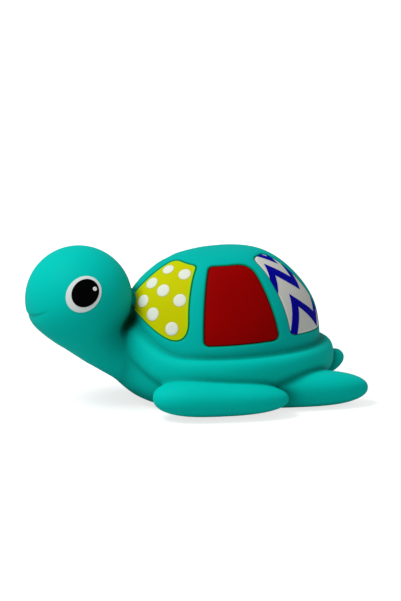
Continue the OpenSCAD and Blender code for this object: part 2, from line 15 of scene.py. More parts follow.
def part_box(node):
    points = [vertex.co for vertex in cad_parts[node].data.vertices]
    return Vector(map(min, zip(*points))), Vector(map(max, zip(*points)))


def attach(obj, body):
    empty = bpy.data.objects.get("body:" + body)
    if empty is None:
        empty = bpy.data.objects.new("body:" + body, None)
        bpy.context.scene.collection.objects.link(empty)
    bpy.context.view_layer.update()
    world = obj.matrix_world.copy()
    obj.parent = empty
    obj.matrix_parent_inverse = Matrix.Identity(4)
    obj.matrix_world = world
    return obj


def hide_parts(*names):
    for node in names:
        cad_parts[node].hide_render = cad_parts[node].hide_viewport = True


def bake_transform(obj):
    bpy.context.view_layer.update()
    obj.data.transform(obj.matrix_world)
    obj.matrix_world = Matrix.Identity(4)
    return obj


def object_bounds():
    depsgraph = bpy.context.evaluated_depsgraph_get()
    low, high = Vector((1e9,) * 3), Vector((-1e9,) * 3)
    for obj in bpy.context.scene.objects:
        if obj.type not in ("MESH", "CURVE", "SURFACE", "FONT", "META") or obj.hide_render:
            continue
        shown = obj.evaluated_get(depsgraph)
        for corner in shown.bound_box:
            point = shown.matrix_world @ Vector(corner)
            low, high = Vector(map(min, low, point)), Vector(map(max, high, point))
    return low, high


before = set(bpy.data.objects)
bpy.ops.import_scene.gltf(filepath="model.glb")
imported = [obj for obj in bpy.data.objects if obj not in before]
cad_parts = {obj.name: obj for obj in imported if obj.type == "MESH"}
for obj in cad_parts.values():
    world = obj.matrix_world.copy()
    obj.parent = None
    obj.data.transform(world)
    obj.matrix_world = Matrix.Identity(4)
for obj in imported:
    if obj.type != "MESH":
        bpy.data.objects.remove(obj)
cad_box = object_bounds()
MM = 0.001
print("CAD nodes:", len(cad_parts), "box:", cad_box)

# %% [markdown]
# The camera comes first, because every look at the work goes through it. The photograph looks at the
# turtle's left side, a little from the front and from above, with a long lens: lines that run away from the
# camera hardly meet. The angle and the distance were fitted on the outline of head, shell and flippers.
# SCALE is the size of one pixel at the turtle, and GROUND_PX is the pixel where the frame's origin shows.

# %% Camera
AZIMUTH, ELEVATION, DISTANCE = math.radians(75), math.radians(12), 1.2
SCALE = 0.392 * MM
FRAME_W, FRAME_H, SENSOR_W = 401, 601, 36
GROUND_PX = (188.6, 395.9)

to_camera = Vector((
    math.sin(AZIMUTH) * math.cos(ELEVATION), -math.cos(AZIMUTH) * math.cos(ELEVATION), math.sin(ELEVATION)
))
to_right = Vector((math.cos(AZIMUTH), math.sin(AZIMUTH), 0))
to_top = to_camera.cross(to_right)
aim = (to_right * (FRAME_W / 2 - GROUND_PX[0]) + to_top * (GROUND_PX[1] - FRAME_H / 2)) * SCALE


def new_object(name, data):
    obj = bpy.data.objects.new(name, data)
    bpy.context.scene.collection.objects.link(obj)
    return obj


camera = new_object("camera", bpy.data.cameras.new("camera"))
camera.data.sensor_width = SENSOR_W
camera.data.lens = SENSOR_W * DISTANCE / SCALE / FRAME_H
camera.location = aim + to_camera * DISTANCE
camera.rotation_euler = to_camera.to_track_quat("Z", "Y").to_euler()
bpy.context.scene.camera = camera
print("lens", round(camera.data.lens, 1), "mm")

# %% [markdown]
# A toy like this is a few soft forms that flow into each other. Each form is described here by a field: a
# formula that is below zero inside the form, zero on its skin and about the distance in metres outside it.
# The fields start from the sizes of the CAD model, taken from its boxes where a box shows them.

# %% Sizes of shell, rim and belly
dome_low, dome_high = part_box("shell_dome")
SHELL_BACK = 11.4 * MM
HALF_W = dome_high.x
FRONT = SHELL_BACK - dome_low.y
REAR = dome_high.y - SHELL_BACK
TOP = dome_high.z
CREASE = 21.6 * MM
ARCH_RISE, ARCH_SPAN = 14 * MM, 58
FULL_REAR, FULL_FRONT, REAR_BULGE = 1.3 * MM, 0.5 * MM, 0.058
RIM_H, RIM_OUT, RIM_GAP = 11.6 * MM, 5 * MM, 0.4 * MM
NECK_SPAN, NECK_FADE, CHEST_OUT = 50, 0.1, 3.6 * MM
WALL = 2.4 * MM
print("shell", round(HALF_W / MM, 2), round(FRONT / MM, 2), round(REAR / MM, 2), round(TOP / MM, 2))

# %% Profile of the dome
DOME_PROFILE = np.array([
    [0.985, -0.1], [1, 0], [0.985, 0.11], [0.95, 0.24], [0.90, 0.375], [0.83, 0.51],
    [0.735, 0.655], [0.62, 0.79], [0.49, 0.89], [0.35, 0.95], [0.18, 0.985], [0, 1], [-0.18, 0.985],
])


def profile(t):
    """Share of the reach and of the height, for a share t of the way up the dome.

    It is a smooth curve through the points, of which the first and the last only steer its ends.
    """
    t = np.clip(np.asarray(t, float), 0, 1)
    spans = len(DOME_PROFILE) - 3
    i = np.minimum((t * spans).astype(int), spans - 1)
    u = (t * spans - i)[..., None]
    a, b, c, d = (DOME_PROFILE[i + k] for k in range(4))
    return (2 * b + (c - a) * u + (2 * a - 5 * b + 4 * c - d) * u**2 + (3 * b - a - 3 * c + d) * u**3) / 2


PROFILE_T = np.linspace(0, 1, 400)
outline = profile(PROFILE_T)
PROFILE_TURN = np.arctan2(outline[:, 1], outline[:, 0])
PROFILE_REACH = np.hypot(outline[:, 0], outline[:, 1])
print("profile points", len(outline))


# %% Places on the shell
def swell(x, span):
    """Half a cosine wave: 1 at 0, 0 at the span and past it."""
    return np.where(x < span, (1 + np.cos(np.pi * x / span)) / 2, 0)


def reach_at(angle):
    return np.where(np.cos(np.radians(angle)) > 0, FRONT, REAR)


def shoulder(angle, share):
    """The dome's top is fuller behind its middle than before it."""
    back = -np.cos(np.radians(angle))
    hump = np.clip(4 * share * (1 - share), 0, 1) ** 2
    return hump * np.where(back > 0, FULL_REAR * back, FULL_FRONT * back)


def bulge(angle, rise):
    """Share of the reach by which the rear of the dome swells out half-way up."""
    back, rise = np.maximum(0, -np.cos(np.radians(angle))), np.clip(rise, 0, 1)
    return REAR_BULGE * (4 * rise * (1 - rise) * back) ** 2


def turn_from_front(angle):
    """The same turn for left and right: 0 at the front and 180 at the back."""
    return np.abs((angle + 180) % 360 - 180)


def crease_at(turn):
    """Height of the crease between dome and rim, which climbs over the neck."""
    return CREASE + ARCH_RISE * swell(turn, ARCH_SPAN)


def dome_at(angle, t, inset):
    """Points of the dome, sunk by inset. Angle 0 is the front and 90 the turtle's left."""
    share, rise = np.moveaxis(profile(t), -1, 0)
    low, a = crease_at(turn_from_front(angle)), np.radians(angle)
    push = bulge(angle, rise)
    x = ((HALF_W - inset) * share + HALF_W * push) * np.sin(a)
    y = SHELL_BACK - ((reach_at(angle) - inset) * share + reach_at(angle) * push) * np.cos(a)
    return np.stack([x, y, low + (TOP - inset - low) * rise + shoulder(angle, share)], axis=-1)


def shell_place(p):
    """Share of the way out to the dome's foot, the foot's distance, the crease's height and the turn."""
    back = p[:, 1] - SHELL_BACK
    reach = np.where(back < 0, FRONT, REAR)
    across, ahead = p[:, 0] / HALF_W, -back / reach
    share, a = np.hypot(across, ahead), np.arctan2(across, ahead)
    radius = np.hypot(HALF_W * np.sin(a), reach * np.cos(a))
    turn = np.abs(np.degrees(a))
    return share, radius, crease_at(turn), turn


def above_crease(p):
    return p[:, 2] - shell_place(p)[2]


# %% Fields of dome, rim and belly
ROLL_POWER, ROLL_MID_SHARE = 2.4, 0.33
FOOT_SHARE, FOOT_FRONT, FOOT_SPAN, BOWL_POWER = 0.74, 0.27, 80, 2.7
LID_ROUND = 5.5 * MM


def soft_min(a, b, blend):
    """The smaller of two fields, with a fillet where they are about equal."""
    h = np.maximum(0, 1 - np.abs(a - b) / blend)
    return np.minimum(a, b) - h * h * blend / 4


def soft_max(a, b, blend):
    return -soft_min(-a, -b, blend)


def share_and_rise(p):
    """Where points lie on the profile of the unswollen dome, and their turn from the front."""
    share, _, low, turn = shell_place(p)
    share = share - bulge(turn, (p[:, 2] - low) / (TOP - low))
    return share, (p[:, 2] - shoulder(turn, share) - low) / (TOP - low), turn


def place_of(p):
    """The place on the dome, as turn and share of the way up, that points lie over."""
    share, rise, turn = share_and_rise(p)
    return np.column_stack([turn, np.interp(np.arctan2(rise, share), PROFILE_TURN, PROFILE_T)])


def dome_field(p):
    """The dome, carried straight down below its foot."""
    share, rise, _ = share_and_rise(p)
    angle = np.arctan2(rise, share)
    wall = 1 / np.maximum(np.cos(angle), 0.05)
    edge = np.where(angle > 0, np.interp(angle, PROFILE_TURN, PROFILE_REACH), wall)
    return (np.hypot(share, rise) / edge - 1) * HALF_W


def rim_reach(turn):
    """How far the roll of the rim stands out from the dome, a little less over the neck."""
    return RIM_GAP + RIM_OUT * (1 - NECK_FADE * swell(turn, NECK_SPAN))


def rim_field(p):
    share, radius, low, turn = shell_place(p)
    out = (share - 1) * radius
    full = rim_reach(turn)
    mid, half = full * ROLL_MID_SHARE, full * (1 - ROLL_MID_SHARE)
    height = (p[:, 2] - low) / (RIM_H / 2) + 1
    q = np.abs((out - mid) / half) ** ROLL_POWER + np.abs(height) ** ROLL_POWER
    return (q ** (1 / ROLL_POWER) - 1) * half


def belly_field(p):
    share, radius, low, turn = shell_place(p)
    top = low - RIM_H
    out = RIM_GAP + RIM_OUT / 4 + CHEST_OUT * swell(turn, NECK_SPAN)
    up = np.clip(p[:, 2] / top, 0, 1)
    foot = FOOT_SHARE - FOOT_FRONT * swell(turn, FOOT_SPAN)
    bowl = foot + (1 - foot) * (1 - (1 - up) ** BOWL_POWER) ** (1 / BOWL_POWER)
    side = (share - 1) * radius - out + (1 - bowl) * (radius + out)
    lid = p[:, 2] - top - RIM_H / 6
    return np.maximum(soft_max(side, lid, LID_ROUND), -p[:, 2])


# %% [markdown]
# The head is a ball with a flattened chin, and the neck is a blunt cone that runs back along the throat.
# Where two of these forms meet, the mould had a fillet of a few millimetres. A soft minimum of two fields
# makes exactly that fillet, and its blend length is the fillet's size.

# %% Field of the head and neck
HEAD_R, HEAD_UP = 20.7 * MM, 41.3 * MM
HEAD_MID = np.array([0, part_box("head")[0].y + HEAD_R, HEAD_UP])
CHIN_ROUND, NECK_ROUND = HEAD_R / 8, HEAD_R / 3.5
THROAT_SHARES = np.array([0, -0.24, -0.985])
THROAT = math.radians(-32)
THROAT_ALONG = np.array([0, math.cos(THROAT), math.sin(THROAT)])
THROAT_UP = np.array([0, -math.sin(THROAT), math.cos(THROAT)])
NECK_R, COLLAR_R, NECK_LEN = 12.5 * MM, 11.5 * MM, 25 * MM
THROAT_FROM = HEAD_MID + HEAD_R * THROAT_SHARES
NECK_FROM = THROAT_FROM + THROAT_ALONG * HEAD_R / 2 + THROAT_UP * NECK_R
NECK_TO = THROAT_FROM + THROAT_ALONG * NECK_LEN + THROAT_UP * COLLAR_R
CHIN, CHIN_SHARE = math.radians(53), 0.925
MOUTH_TURN, MOUTH_FADE, MOUTH_LOW, MOUTH_CURL = 46, 0.6, 0.228, 0.2
GROOVE, GROOVE_W, CHIN_STEP, CHIN_FADE = 0.09 * MM, 0.5 * MM, 0.6 * MM, 3.5 * MM


def mouth_place(p):
    """Height over the line of the mouth, and how much of the mouth there is at this turn."""
    q = p - HEAD_MID
    turn = np.degrees(np.arctan2(q[:, 0], -q[:, 1])) / MOUTH_TURN
    line = -(MOUTH_LOW - MOUTH_CURL * turn * turn) * HEAD_R
    return q[:, 2] - line, np.clip((1 - np.abs(turn)) / MOUTH_FADE, 0, 1)


def mouth(p):
    """Depth cut from the head: a fine groove, and a chin that stands back under the beak."""
    over, full = mouth_place(p)
    groove = GROOVE * np.exp(-(over / GROOVE_W) ** 2)
    under = 1 / (1 + np.exp(np.clip(over / GROOVE_W * 4, -30, 30)))
    chin = CHIN_STEP * np.exp(np.minimum(over, 0) / CHIN_FADE) * under
    return full * (groove + chin)


def head_field(p):
    q = p - HEAD_MID
    ball = np.linalg.norm(q, axis=1) - HEAD_R + mouth(p)
    chin = -(q[:, 1] * math.cos(CHIN) + q[:, 2] * math.sin(CHIN)) - CHIN_SHARE * HEAD_R
    axis = NECK_TO - NECK_FROM
    t = np.clip((p - NECK_FROM) @ axis / (axis @ axis), 0, 1)
    neck = np.linalg.norm(p - NECK_FROM - t[:, None] * axis, axis=1) - (NECK_R + (COLLAR_R - NECK_R) * t)
    return soft_min(soft_max(ball, chin, CHIN_ROUND), neck, NECK_ROUND)


# %% Fields of the flippers and the tail
PAD_POWER = 2.3
FRONT_HALF, HIND_HALF = np.array([52, 20, 13]) * MM / 2, np.array([57, 19, 14]) * MM / 2
FRONT_SWEEP, FRONT_PITCH, FRONT_TAPER, FRONT_BLUNT = 9, 1.5, 0.16, 2.7
HIND_SWEEP, HIND_PITCH, HIND_TAPER, HIND_BLUNT = 4, 1, 0.02, 2.5
HIND_OUT, HIND_SHORT, HIND_LIFT = 27.5 * MM, 0.3 * MM, 0.15 * MM
TAIL_HALF = np.array([10.1, 12.6, 7.4]) * MM / 2
TAIL_TILT, TAIL_UP, TAIL_OUT = math.radians(35), 10.5 * MM, 0.2 * MM


def direction(sweep, pitch):
    """Which way a flipper points: swept outwards from straight back, and pitched down."""
    sweep, pitch = math.radians(sweep), math.radians(pitch)
    return np.array([math.sin(sweep) * math.cos(pitch), math.cos(sweep) * math.cos(pitch), -math.sin(pitch)])


FRONT_ALONG, HIND_ALONG = direction(FRONT_SWEEP, FRONT_PITCH), direction(HIND_SWEEP, HIND_PITCH)
FRONT_MID = np.array([37, 3, 7.6]) * MM
HIND_END = cad_box[1][1] - HIND_SHORT
HIND_MID = np.array([HIND_OUT, HIND_END - HIND_HALF[0] * HIND_ALONG[1], HIND_HALF[2] + HIND_LIFT])
TAIL_MID = np.array([0, SHELL_BACK + REAR + RIM_OUT + TAIL_OUT, TAIL_UP])


def pad_field(p, mid, along, half, taper, blunt):
    """A fat pad that narrows along its length. Left and right are mirrored by the sign of x."""
    q = np.column_stack([np.abs(p[:, 0]), p[:, 1:]]) - mid
    side = np.cross(along, [0, 0, 1])
    side /= np.linalg.norm(side)
    up = np.cross(side, along)
    length = q @ along / half[0]
    narrow = 1 - taper * np.clip(length, -1.2, 1.2)
    across, height = np.abs(q @ side / (half[1] * narrow)), np.abs(q @ up / (half[2] * narrow))
    full = np.abs(length) ** blunt + across**PAD_POWER + height**PAD_POWER
    return (full ** (1 / PAD_POWER) - 1) * half[2]


def front_field(p):
    return pad_field(p, FRONT_MID, FRONT_ALONG, FRONT_HALF, FRONT_TAPER, FRONT_BLUNT)


def hind_field(p):
    return pad_field(p, HIND_MID, HIND_ALONG, HIND_HALF, HIND_TAPER, HIND_BLUNT)


def tail_field(p):
    q = (p - TAIL_MID) @ np.array(Matrix.Rotation(TAIL_TILT, 3, "X"))
    return (((np.abs(q) / TAIL_HALF) ** PAD_POWER).sum(axis=1) ** (1 / PAD_POWER) - 1) * TAIL_HALF[2]


# %% [markdown]
# Two tools do the moulding. settled moves each vertex of a mesh along the field's slope until it lies on the
# form, as vinyl is pressed to the wall of a mould. add_form starts a form as a primitive at its size and
# place, the way it is done by hand, and settles it.

# %% Moulding tools
SLOPE_STEP, STRIDE, FINE_STRIDE = 0.02 * MM, 1.5 * MM, 0.4 * MM


def points_of(obj):
    co = np.empty(len(obj.data.vertices) * 3)
    obj.data.vertices.foreach_get("co", co)
    return co.reshape(-1, 3)


def move_points(obj, p):
    obj.data.vertices.foreach_set("co", np.ascontiguousarray(p, dtype=np.float32).ravel())
    obj.data.update()


def face_centres(obj):
    c = np.empty(len(obj.data.polygons) * 3)
    obj.data.polygons.foreach_get("center", c)
    return c.reshape(-1, 3)


def slope(field, p):
    g = np.empty_like(p)
    for axis in range(3):
        step = np.zeros(3)
        step[axis] = SLOPE_STEP
        g[:, axis] = (field(p + step) - field(p - step)) / (2 * SLOPE_STEP)
    return g


def settled(field, p, sink=0, rounds=8, stride=STRIDE):
    """Points moved on to the form, or below its skin by sink, by no more than a stride in each round."""
    p = p.copy()
    for _ in range(rounds):
        g = slope(field, p)
        step = ((field(p) + sink) / np.maximum((g * g).sum(axis=1), 0.05))[:, None] * g
        length = np.linalg.norm(step, axis=1, keepdims=True)
        p -= step * np.minimum(1, stride / np.maximum(length, 1e-12))
    return p


def only(obj):
    """Selects one object and nothing else."""
    bpy.ops.object.select_all(action="DESELECT")
    obj.select_set(True)
    bpy.context.view_layer.objects.active = obj


def finish_with(obj, kind, **settings):
    """Adds a modifier, sets it and applies it."""
    only(obj)
    bpy.ops.object.modifier_add(type=kind)
    modifier = obj.modifiers[-1]
    for name, value in settings.items():
        setattr(modifier, name, value)
    bpy.ops.object.modifier_apply(modifier=modifier.name)


def added(name, add, scale=(1, 1, 1), location=(0, 0, 0), **settings):
    """A new primitive, alone in the selection, with its scale and place applied to its mesh."""
    bpy.ops.object.select_all(action="DESELECT")
    add(location=location, **settings)
    obj = bpy.context.object
    obj.name = name
    obj.scale = scale
    bpy.ops.object.transform_apply(location=True, rotation=True, scale=True)
    return obj


def add_form(name, field, centre, size, turn=(0, 0, 0)):
    """A ball at its place and size, settled on a field."""
    form = added(name, bpy.ops.mesh.primitive_uv_sphere_add, size, segments=96, ring_count=64, radius=1,
                 location=centre, rotation=turn)
    move_points(form, settled(field, points_of(form), rounds=24))
    return form


# %% [markdown]
# Where two forms of a soft toy meet, little light gets in and the vinyl looks deeper and greener. That shade
# is painted into the colour: the function below gives each point a number for it, from the second nearest
# form, and a higher one in the narrow crevice between head and shell. paint keeps such numbers as an
# attribute of the mesh, which a material can read.

# %% Painted shade in the creases
# Reach and strength of the painted shade in the creases and in the crevice behind the head.
CREASE_W, CREASE_SHADE, PALE_FRONT, PALE_LEAST = 2 * MM, 0.62, 55 * MM, 0.35
CREVICE_AT, CREVICE_TALL, CREVICE_LEAD = 1 * MM, 7.5 * MM, 0.3
CREVICE_RIM, CREVICE_DOME, CREVICE_HEAD = 1.5 * MM, 4.5 * MM, 5 * MM
SHADE_TALL, SHADE_HEAD, SHADE = 15 * MM, 14 * MM, 0.56


def painted_crease_shade(p):
    """Painted shade: how deep a point lies between two forms, 0 in the open, 1 in the crease."""
    forms = (dome_field, rim_field, belly_field, head_field, front_field, hind_field, tail_field)
    second = np.sort([form(p) for form in forms], axis=0)[1]
    soft = CREASE_SHADE * np.exp(-(np.maximum(second, 0) / CREASE_W) ** 2)
    soft *= np.clip(1 + p[:, 1] / PALE_FRONT, PALE_LEAST, 1)
    over = above_crease(p)
    reach = CREVICE_RIM + (CREVICE_DOME - CREVICE_RIM) * np.clip(over / CREVICE_DOME + CREVICE_LEAD, 0, 1)
    to_head = np.maximum(head_field(p), 0) / reach
    to_shell = np.maximum(np.minimum(dome_field(p), rim_field(p)), 0) / CREVICE_HEAD
    crevice = np.exp(-to_head**2 - to_shell**2 - ((over - CREVICE_AT) / CREVICE_TALL) ** 2)
    near = (to_shell * CREVICE_HEAD / SHADE_HEAD) ** 2 + ((over - CREVICE_AT) / SHADE_TALL) ** 2
    crevice = np.maximum(crevice, SHADE * np.exp(-to_head**2 - near))
    return np.maximum(soft, crevice)


def paint(obj, name, values):
    layer = obj.data.attributes.new(name, "FLOAT", "POINT")
    layer.data.foreach_set("value", np.ascontiguousarray(values, dtype=np.float32))


# %% [markdown]
# The lower skin is everything but the dome: rim, belly, neck, head, flippers and tail. On the real toy these
# are one moulding with no joints, so here the forms are joined, remeshed into one closed skin and settled on
# the whole field with its fillets. Separate meshes pushed into each other would meet in hard lines instead.
# The head stops short of the dome, and only below the crease does it run on into the body.

# %% The whole field of the lower skin
FILLET_BELLY, FILLET_DOME, FILLET_FLIPPER, FILLET_NECK = 2.4 * MM, 2 * MM, 1.8 * MM, 2.2 * MM
DIVE, DIVE_W = 0.5 * MM, 3.2 * MM
HEAD_GAP, HEAD_ROUND, HEAD_RELEASE = 0.6 * MM, 2.4 * MM, 5
GROUND_ROUND = 1.5 * MM


def top_side(p):
    """Dome and rim with the soft valley between them."""
    return soft_min(dome_field(p), rim_field(p), FILLET_DOME)


def dive(p, sign):
    """How deep one skin slips under the other: with sign 1 the lower skin, on the dome's side."""
    return DIVE * np.clip(sign * (rim_field(p) - dome_field(p)) / DIVE_W, 0, 1) ** 2


def lower_skin(p):
    over = above_crease(p)
    dome = np.maximum(dome_field(p) + dive(p, 1), -over - RIM_H)
    body = soft_min(soft_min(dome, rim_field(p), FILLET_DOME), belly_field(p), FILLET_BELLY)
    fins = np.minimum(front_field(p), hind_field(p))
    body = soft_min(body, fins, FILLET_FLIPPER)
    body = soft_min(body, tail_field(p), FILLET_BELLY)
    kept_off = HEAD_GAP - dome_field(p) - HEAD_RELEASE * np.maximum(0, -over)
    head = soft_max(head_field(p), kept_off, HEAD_ROUND)
    down = np.clip(-over / RIM_H, 0, 1)
    neck_fillet = HEAD_GAP / 2 + FILLET_NECK * down * down
    body = soft_min(body, head, neck_fillet)
    return soft_max(body, -p[:, 2], GROUND_ROUND)


# %% Forms of the lower skin
NECK_MID, NECK_HALF = (NECK_FROM + NECK_TO) / 2, (COLLAR_R, 20 * MM, COLLAR_R)
BELLY_UP, BELLY_HALF = 8 * MM, (HALF_W, REAR, 12 * MM)


def dome_core(p):
    """The dome with a floor at the foot of the rim."""
    return np.maximum(dome_field(p), -above_crease(p) - RIM_H)


def mirrored_forms(name, field, centre, half, sweep):
    """A flipper on each side. Its half sizes are given lengthwise, crosswise and upwards."""
    x, y, z = centre
    for sign in (1, -1):
        yield add_form(name, field, (sign * x, y, z), half[[1, 0, 2]], (0, 0, -sign * math.radians(sweep)))


forms = [
    add_form("head_form", head_field, HEAD_MID, [HEAD_R] * 3),
    add_form("neck_form", head_field, NECK_MID, NECK_HALF, (THROAT, 0, 0)),
    add_form("belly_form", belly_field, (0, SHELL_BACK, BELLY_UP), BELLY_HALF),
    add_form("dome_form", dome_core, (0, SHELL_BACK, CREASE), (HALF_W, REAR, TOP - CREASE)),
    add_form("tail_form", tail_field, TAIL_MID, TAIL_HALF, (TAIL_TILT, 0, 0)),
    *mirrored_forms("front_form", front_field, FRONT_MID, FRONT_HALF, FRONT_SWEEP),
    *mirrored_forms("hind_form", hind_field, HIND_MID, HIND_HALF, HIND_SWEEP),
]
print("forms:", [f.name for f in forms])


# %% Form of the rim
RING_SHARE = 0.05


def rim_form():
    """A ring bent from a torus: laid along the crease, then settled on the rolled section."""
    ring = added("rim_form", bpy.ops.mesh.primitive_torus_add, major_segments=240, minor_segments=32,
                 major_radius=1, minor_radius=RING_SHARE)
    p = points_of(ring)
    a = np.arctan2(p[:, 0], -p[:, 1])
    angle = np.degrees(a)
    out = (np.hypot(p[:, 0], p[:, 1]) - 1) / RING_SHARE
    width = rim_reach(np.abs(angle)) * (ROLL_MID_SHARE + (1 - ROLL_MID_SHARE) * out)
    x = (HALF_W + width) * np.sin(a)
    y = SHELL_BACK - (reach_at(angle) + width) * np.cos(a)
    z = crease_at(np.abs(angle)) + (p[:, 2] / RING_SHARE - 1) * RIM_H / 2
    move_points(ring, settled(rim_field, np.column_stack([x, y, z]), rounds=6, stride=FINE_STRIDE))
    return ring


forms.append(rim_form())
print("rim points", len(forms[-1].data.vertices))

# %% One skin from the forms
VOXEL, SKIN_STRIDE, LAST_STRIDE = 0.95 * MM, 0.8 * MM, 0.5 * MM
MOUTH_BANDS = (2.2 * MM, 1.3 * MM)


def joined(parts, name):
    bpy.ops.object.select_all(action="DESELECT")
    for part in parts:
        part.select_set(True)
    bpy.context.view_layer.objects.active = parts[0]
    bpy.ops.object.join()
    parts[0].name = name
    return parts[0]


def edit_faces(obj, chosen, operator, **settings):
    """Runs an operator on the chosen faces, in edit mode."""
    only(obj)
    bpy.ops.object.mode_set(mode="EDIT")
    bpy.ops.mesh.select_mode(type="FACE")
    bpy.ops.mesh.select_all(action="DESELECT")
    bpy.ops.object.mode_set(mode="OBJECT")
    obj.data.polygons.foreach_set("select", chosen)
    bpy.ops.object.mode_set(mode="EDIT")
    operator(**settings)
    bpy.ops.object.mode_set(mode="OBJECT")


def subdivide_near_mouth(obj, reach):
    """Finer faces in a band round the mouth, for the groove to show."""
    centres = face_centres(obj)
    over, full = mouth_place(centres)
    near = (np.abs(over) < reach) & (full > 0) & (centres[:, 1] < HEAD_MID[1])
    edit_faces(obj, near, bpy.ops.mesh.subdivide, number_cuts=1)


skin = joined(forms, "vinyl_skin")
skin.data.remesh_voxel_size = VOXEL
only(skin)
bpy.ops.object.voxel_remesh()
for _ in range(3):
    move_points(skin, settled(lower_skin, points_of(skin), rounds=4, stride=SKIN_STRIDE))
    finish_with(skin, "SMOOTH", factor=0.5, iterations=3)
for reach in MOUTH_BANDS:
    subdivide_near_mouth(skin, reach)
move_points(skin, settled(lower_skin, points_of(skin), rounds=6, stride=LAST_STRIDE))
print("skin points", len(skin.data.vertices))

# %% [markdown]
# The skin is open under the dome, as the dome is a piece of its own.
# The faces there are deleted, and a Solidify modifier then gives the skin its wall.

# %% Open the skin under the dome and give it a wall
OPEN_ABOVE = 2.2 * MM
centres = face_centres(skin)
under_dome = (above_crease(centres) > OPEN_ABOVE) & (dome_field(centres) < -DIVE / 8)
edit_faces(skin, under_dome, bpy.ops.mesh.delete, type="FACE")
finish_with(skin, "SOLIDIFY", thickness=WALL, offset=-1)
print("opened", int(under_dome.sum()), "faces; skin faces", len(skin.data.polygons))

# %% [markdown]
# The squeaker plugs into a hole in the belly, with a shallow step for its flange. A Boolean cuts both with
# plain cylinders, as a punch would.

# %% Squeaker hole
FLANGE_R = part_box("squeaker_cup")[1].x
CUP_R, HOLE_GAP, FLANGE_T = 7.7 * MM, 0.15 * MM, 1 * MM
SKIN_ANGLE, PIECE_ANGLE = 40, 50


def cylinder(name, radius, low, high):
    return added(name, bpy.ops.mesh.primitive_cylinder_add, vertices=96, radius=radius, depth=high - low,
                 location=(0, SHELL_BACK, (low + high) / 2))


def smooth(obj, angle=PIECE_ANGLE):
    """Smooth shading, but for edges sharper than the angle."""
    only(obj)
    bpy.ops.object.shade_smooth_by_angle(angle=math.radians(angle))


for punch in (
    cylinder("bore_punch", CUP_R + HOLE_GAP, -WALL, 3 * WALL),
    cylinder("flange_punch", FLANGE_R + HOLE_GAP, -WALL, FLANGE_T),
):
    finish_with(skin, "BOOLEAN", operation="DIFFERENCE", object=punch, solver="EXACT")
    bpy.data.objects.remove(punch)
smooth(skin, SKIN_ANGLE)
# The skin keeps the painted shade of its creases as an attribute.
paint(skin, "crease", painted_crease_shade(points_of(skin)))
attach(skin, "toy_base")
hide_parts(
    "shell_rim", "belly_pan", "head", "tail", "front_flipper_left", "front_flipper_right",
    "hind_flipper_left", "hind_flipper_right",
)
print("skin faces with the hole", len(skin.data.polygons))

# %% [markdown]
# The shell has six coloured panels in shallow seats. Their outlines are rounded four-sided shapes laid out on
# the dome in two numbers: an angle round the shell and a share of the way up. A chart turns those into
# millimetres, so that lips and gaps have their true width.

# %% Outlines of the panels
PANELS = {
    "yellow": np.array([[2.4, 0.122], [60.2, 0.126], [51.6, 0.706], [11.6, 0.714]]),
    "red": np.array([[68.2, 0.114], [115.8, 0.13], [114.6, 0.70], [65.7, 0.705]]),
    "white": np.array([[124, 0.148], [168.5, 0.125], [157, 0.745], [124.6, 0.732]]),
}
PANEL_RADII = {
    "yellow": [4.5 * MM, 10.5 * MM, 2.2 * MM, 4 * MM], "red": [2.8 * MM, 3.6 * MM, 6 * MM, 2.6 * MM],
    "white": [3 * MM, 3 * MM, 4 * MM, 3.6 * MM],
}
ARC_SHARE = 1.16
PROFILE_LEN = ARC_SHARE * math.hypot(HALF_W, TOP - CREASE)
CORNER_STEPS, SIDE_STEPS = 10, 14


def degree_at(angle):
    """Metres across one degree at the foot of the dome."""
    return math.pi / 180 * (HALF_W + float(reach_at(angle))) / 2


def place_distance(a, b):
    angle, t = (a + b) / 2
    return np.linalg.norm((b - a) * [degree_at(angle) * profile(t)[0], PROFILE_LEN])


def panel_outline(corners, radii):
    """Straight sides whose corners are rounded by parabolas, as places on the dome."""
    points = []
    for i, c in enumerate(corners):
        k = (i + 1) % len(corners)
        before, after = corners[i - 1], corners[k]
        a = c + (before - c) * radii[i] / place_distance(c, before)
        b = c + (after - c) * radii[i] / place_distance(c, after)
        following = after + (c - after) * radii[k] / place_distance(after, c)
        for u in np.linspace(0, 1, CORNER_STEPS + 1):
            points.append((a + (c - a) * u) * (1 - u) + (c + (b - c) * u) * u)
        for u in np.linspace(0, 1, SIDE_STEPS + 1)[1:-1]:
            points.append(b + (following - b) * u)
    return np.array(points)


# %% Chart of a panel
class Chart:
    """Places near a panel as flat metres, and back."""

    def __init__(self, outline):
        self.mid = outline.mean(axis=0)
        self.across = degree_at(self.mid[0])
        self.edge = self.flat(outline)

    def flat(self, places):
        places = np.asarray(places, float)
        across = (places[..., 0] - self.mid[0]) * self.across * profile(places[..., 1])[..., 0]
        return np.stack([across, places[..., 1] * PROFILE_LEN], axis=-1)

    def places(self, flat):
        t = flat[..., 1] / PROFILE_LEN
        angle = self.mid[0] + flat[..., 0] / (self.across * profile(t)[..., 0])
        return np.stack([angle, t], axis=-1)

    def loop(self, out):
        """The outline grown by out, point by point."""
        tangent = np.roll(self.edge, -1, axis=0) - np.roll(self.edge, 1, axis=0)
        normal = np.column_stack([tangent[:, 1], -tangent[:, 0]])
        normal /= np.linalg.norm(normal, axis=1, keepdims=True)
        return self.places(self.edge + normal * out)

    def distance(self, places):
        """Distance from the outline, below zero inside it."""
        q = self.flat(places)[:, None, :]
        a, b = self.edge, np.roll(self.edge, -1, axis=0)
        ab = b - a
        t = np.clip(((q - a) * ab).sum(axis=2) / (ab * ab).sum(axis=1), 0, 1)
        gap = np.linalg.norm(q - a - t[..., None] * ab, axis=2).min(axis=1)
        crosses = (a[:, 1] > q[..., 1]) != (b[:, 1] > q[..., 1])
        rise = np.where(ab[:, 1] == 0, 1e-12, ab[:, 1])
        inside = (crosses & (q[..., 0] < ab[:, 0] * (q[..., 1] - a[:, 1]) / rise + a[:, 0])).sum(axis=1) % 2
        return np.where(inside == 1, -gap, gap)


